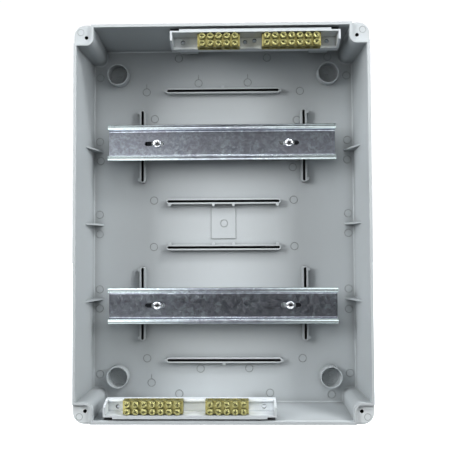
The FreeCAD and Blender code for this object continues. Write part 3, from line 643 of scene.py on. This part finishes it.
# ------------------------------------------------------------------ rails
def rail_mesh(node):
    """Rolled top-hat section with round bends and flanges that lean a little."""
    lo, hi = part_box(node)
    xm, zm = (lo.x + hi.x) / 2, (lo.z + hi.z) / 2
    yb = hi.y / MM  # back of the web
    t = 0.94  # a hair under the 1 mm sheet, so that it never grazes its bosses
    # centre line of the sheet, one half, from the middle of the web to the tip
    mid = [(0.0, yb - 0.5)]
    r = 2.0
    zc = 13.0
    for i in range(9):
        a = math.radians(90 * i / 8)
        mid.append((zc - r + r * math.sin(a), yb - 0.5 - r + r * math.cos(a)))
    yf = lo.y / MM + 0.5
    r = 0.75
    for i in range(7):
        a = math.radians(90 * i / 6)
        mid.append((zc + r - r * math.cos(a), yf - 0.06 + r - r * math.sin(a)))
    # a shallow gutter: back a little past the bend, then forward to the tip
    mid.append((14.25, yf + 0.06))
    mid.append((14.75, yf + 0.17))
    mid.append((15.25, yf + 0.20))
    mid.append((15.8, yf + 0.14))
    mid.append((16.4, yf + 0.02))
    mid.append((17.0, yf - 0.13))
    half = []
    for i, (z, y) in enumerate(mid):
        a = mid[max(i - 1, 0)]
        b = mid[min(i + 1, len(mid) - 1)]
        dz, dy = b[0] - a[0], b[1] - a[1]
        n = math.hypot(dz, dy)
        half.append((z, y, -dy / n, dz / n))
    pts = []  # (z, y, nz, ny) over the whole width
    for z, y, nz, ny in reversed(half[1:]):
        pts.append((-z, y, -nz, ny))
    pts += half
    front = [(z - nz * t / 2, y - ny * t / 2) for z, y, nz, ny in pts]
    back = [(z + nz * t / 2, y + ny * t / 2) for z, y, nz, ny in pts]
    # rounded sheared tips
    tip_a = [(front[0][0] - 0.38, front[0][1] + 0.28), (back[0][0] - 0.42, back[0][1] - 0.30)]
    tip_b = [(front[-1][0] + 0.38, front[-1][1] + 0.28), (back[-1][0] + 0.42, back[-1][1] - 0.30)]
    loop = front + tip_b + list(reversed(back)) + list(reversed(tip_a))
    bm = bmesh.new()
    xs = [lo.x, lo.x + 0.35 * MM, hi.x - 0.35 * MM, hi.x]
    rows = [
        [bm.verts.new((x, y * MM, zm + z * MM)) for z, y in loop] for x in (xs[0], xs[3])
    ]
    n = len(loop)
    for k in range(n):
        k2 = (k + 1) % n
        bm.faces.new((rows[0][k], rows[0][k2], rows[1][k2], rows[1][k]))
    bm.faces.new(list(reversed(rows[0])))
    bm.faces.new(rows[1])
    bmesh.ops.recalc_face_normals(bm, faces=bm.faces)
    cuts = []
    for s in (-1, 1):
        c = bmesh.new()
        cx, reach, rad = xm + s * 66.5 * MM, (19.4 - 4.3) / 2 * MM, 2.15 * MM
        ring = []
        for side, a0 in ((1, -90), (-1, 90)):
            for i in range(13):
                a = math.radians(a0 + 180 * i / 12)
                ring.append((cx + side * reach + rad * math.cos(a), zm + rad * math.sin(a)))
        fr = [c.verts.new((x, (yb - 2.5) * MM, z)) for x, z in ring]
        bk = [c.verts.new((x, (yb + 1.5) * MM, z)) for x, z in ring]
        m = len(ring)
        for k in range(m):
            k2 = (k + 1) % m
            c.faces.new((fr[k], fr[k2], bk[k2], bk[k]))
        c.faces.new(list(reversed(fr)))
        c.faces.new(bk)
        bmesh.ops.recalc_face_normals(c, faces=c.faces)
        cuts.append(c)
    return carve(node + "_rolled", bm, cuts)


for node in ("upper_din_rail", "lower_din_rail"):
    put(node + "_rolled", rail_mesh(node), node)

# ------------------------------------------------------------------ ejector-pin marks
FLOOR_MARKS = [
    (-77.7, 135.2), (-24.8, 144.1), (-125.0, 150.6), (-44.9, 169.6), (44.9, 169.6),
    (25.2, 144.5), (78.1, 135.2), (106.2, 170.0), (125.2, 150.6), (-125.3, 84.8),
    (-124.6, 65.2), (125.3, 84.8), (125.0, 65.0), (-125.3, 10.6), (-125.3, -9.2),
    (125.3, 10.6), (125.3, -9.2), (-70.2, 24.6), (-70.4, -22.4), (70.8, 24.6),
    (71.2, -22.2), (-125.1, -64.8), (-125.2, -84.0), (124.9, -64.9), (125.0, -85.1),
    (-124.6, -149.6), (-72.8, -158.1), (-77.2, -133.9), (-45.1, -169.0), (-23.6, -144.2),
    (78.3, -134.0), (25.0, -143.8), (125.2, -148.6), (106.8, -169.8), (45.6, -168.2),
    (-69.4, 107.6), (74.6, 105.6), (70.1, 57.6),
]
LINES = [(-77.7, 135.2), (-24.8, 144.1), (25.2, 144.5), (-72.8, -158.1)]


def ring_mark(bm, x, z, y, r, wide=0.60, high=0.34, segs=40):
    """A low round-topped ridge standing on the face at y."""
    prof = [(-wide / 2, -0.02), (-wide * 0.3, high * 0.8), (0.0, high), (wide * 0.3, high * 0.8),
            (wide / 2, -0.02)]
    rows = []
    for k in range(segs):
        a = 2 * math.pi * k / segs
        rows.append(
            [
                bm.verts.new(
                    (
                        (x + (r + d) * math.cos(a)) * MM,
                        (y - q) * MM,
                        (z + (r + d) * math.sin(a)) * MM,
                    )
                )
                for d, q in prof
            ]
        )
    m = len(prof)
    for k in range(segs):
        a, b = rows[k], rows[(k + 1) % segs]
        for i in range(m):
            j = (i + 1) % m
            bm.faces.new((a[i], a[j], b[j], b[i]))


def line_mark(bm, x, z0, z1, y, wide=0.50, high=0.30):
    prof = [(-wide / 2, -0.02), (-wide * 0.25, high), (wide * 0.25, high), (wide / 2, -0.02)]
    a = [bm.verts.new(((x + d) * MM, (y - q) * MM, z0 * MM)) for d, q in prof]
    b = [bm.verts.new(((x + d) * MM, (y - q) * MM, z1 * MM)) for d, q in prof]
    for i in range(4):
        j = (i + 1) % 4
        bm.faces.new((a[i], a[j], b[j], b[i]))
    bm.faces.new(list(reversed(a)))
    bm.faces.new(b)


bm = bmesh.new()
for x, z in FLOOR_MARKS:
    ring_mark(bm, x, z, -4.0, 3.7)
for sx in (-1, 1):
    for sz in (-1, 1):
        for r in (1.8, 3.4, 5.0, 6.6, 8.2):
            ring_mark(bm, sx * 105.6, sz * 151.2, -2.8, r, 0.60, 0.22)
for x, z in LINES:
    line_mark(bm, x, z + 3.8, z + 8.5, -4.0)
for sx in (-1, 1):
    for sz in (-1, 1):
        ring_mark(bm, sx * 128.6, sz * 174.2, -69.3, 2.9, 0.45, 0.20)
bmesh.ops.recalc_face_normals(bm, faces=bm.faces)
me = bpy.data.meshes.new("ejector_marks")
bm.to_mesh(me)
bm.free()
mark_sharp(me, 60)
marks = put("ejector_marks", me, "enclosure_base", keep_node=True)
marks.data.materials.clear()
marks.data.materials.append(mark_shade_mat.m)

# ------------------------------------------------------------------ floor, light, world
ground = bmesh.new()
for a, b, c, d in ((-6, -6, 6, 6),):
    vs = [ground.verts.new(p) for p in ((a, b, -0.1808), (c, b, -0.1808), (c, d, -0.1808), (a, d, -0.1808))]
    ground.faces.new(vs)
gm = bpy.data.meshes.new("studio_floor")
ground.to_mesh(gm)
ground.free()
go = add_object("studio_floor", gm)
pale = Mat("studio_floor")
f_n = pale.noise(3.0, 2.0, 0.5)
pale.link(pale.ramp(f_n, [(0.3, (0.86, 0.86, 0.86)), (0.7, (0.89, 0.89, 0.89))]), pale.b.inputs["Base Color"])
pale.set(Roughness=0.9, Emission_Strength=1.3, Emission_Color=(1.0, 1.0, 1.0, 1.0))
pale.set(Specular_IOR_Level=0.1)
go.data.materials.append(pale.m)
# the floor is seen, but neither lights the inside nor shows in the metal
go.visible_diffuse = False
go.visible_glossy = False


def area(name, place, aim, size, watts, colour=(1.0, 1.0, 1.0), size_y=None):
    d = bpy.data.lights.new(name, "AREA")
    d.shape = "RECTANGLE" if size_y else "DISK"
    d.size = size
    if size_y:
        d.size_y = size_y
    d.energy = watts
    d.color = colour
    o = bpy.data.objects.new(name, d)
    scene.collection.objects.link(o)
    o.location = place
    o.rotation_euler = (Vector(aim) - Vector(place)).to_track_quat("-Z", "Y").to_euler()
    return o


LIGHTS = [
    ("front_big", (0.0, -1.5, 0.3), (0, 0.0, 0.0), 1.2, 1.95, 1.2),
    ("key_top", (0.0, -0.9, 0.9), (0, -0.02, 0.0), 0.15, 0.8, 0.15),
    ("left", (-0.95, -0.75, 0.35), (0, 0.0, 0.0), 0.4, 10.5, 0.6),
    ("right", (0.95, -0.75, 0.35), (0, 0.0, 0.0), 0.4, 7.6, 0.6),
    ("left_high", (-0.7, -0.5, 0.9), (0, 0.0, 0.0), 0.3, 2.8, 0.3),
    ("right_high", (0.7, -0.5, 0.9), (0, 0.0, 0.0), 0.3, 8.2, 0.3),
    ("near_top", (0.0, -0.42, 0.42), (0, 0.0, 0.0), 0.25, 0.24, 0.16),
    ("near_front", (0.0, -0.45, 0.05), (0, 0.0, 0.02), 0.20, 0.16, 0.16),
]
for name, place, aim, size, watts, size_y in LIGHTS:
    lamp = area(name, place, aim, size, watts, size_y=size_y)
    if name in ("front_big", "near_front"):
        lamp.visible_glossy = False

world = bpy.data.worlds.new("studio")
scene.world = world
world.use_nodes = True
wt = world.node_tree
wt.nodes.clear()


def w_node(kind, **props):
    n = wt.nodes.new(kind)
    for p, v in props.items():
        setattr(n, p, v)
    return n


def w_map(src, lo, hi, a, b, smooth=True):
    n = w_node("ShaderNodeMapRange", interpolation_type="SMOOTHSTEP" if smooth else "LINEAR")
    for i, v in ((1, lo), (2, hi), (3, a), (4, b)):
        n.inputs[i].default_value = v
    wt.links.new(src, n.inputs[0])
    return n.outputs[0]


def w_math(op, a, b):
    n = w_node("ShaderNodeMath", operation=op)
    for sock, v in ((n.inputs[0], a), (n.inputs[1], b)):
        if isinstance(v, (int, float)):
            sock.default_value = v
        else:
            wt.links.new(v, sock)
    return n.outputs[0]


w_out = w_node("ShaderNodeOutputWorld")
w_bg = w_node("ShaderNodeBackground")
w_tc = w_node("ShaderNodeTexCoord")
w_sep = w_node("ShaderNodeSeparateXYZ")
w_lp = w_node("ShaderNodeLightPath")
wt.links.new(w_tc.outputs["Generated"], w_sep.inputs[0])
wx, wy, wz = w_sep.outputs
# the room as metal sees it: bright to the left and above, dim low down and straight ahead
sides = w_map(w_math("ABSOLUTE", wx, 0.0), 0.03, 0.15, 0.36, 2.0)
sides = w_math("MULTIPLY", sides, w_map(wx, -0.20, -0.05, 1.4, 1.0))
bands = w_math("ADD", w_map(wz, 0.24, 0.42, 0.0, 0.48), w_map(wz, -0.36, -0.18, 1.15, 0.0))
room = w_math("MULTIPLY", w_map(wz, -0.14, 0.12, 0.035, 0.28), w_map(wx, -0.17, -0.04, 3.2, 1.0))
room = w_math("MULTIPLY", room, w_map(wx, 0.05, 0.16, 1.0, 1.3))
room = w_math("ADD", room, w_math("MULTIPLY", bands, sides))
# white behind and beside the object
behind = w_map(wy, -0.15, 0.25, 0.0, 1.0)
seen = w_math("MAXIMUM", room, behind)
# soft light from the room itself is weak from the front
soft = w_math("MAXIMUM", behind, 0.01)
pick = w_math("MULTIPLY", w_math("SUBTRACT", soft, seen), w_lp.outputs["Is Diffuse Ray"])
level = w_math("ADD", seen, pick)
clear = w_math("MULTIPLY", w_math("SUBTRACT", 1.05, level), w_lp.outputs["Is Camera Ray"])
level = w_math("ADD", level, clear)
wt.links.new(level, w_bg.inputs["Strength"])
wt.links.new(w_bg.outputs[0], w_out.inputs[0])
w_bg.inputs["Color"].default_value = (0.985, 0.99, 1.0, 1.0)
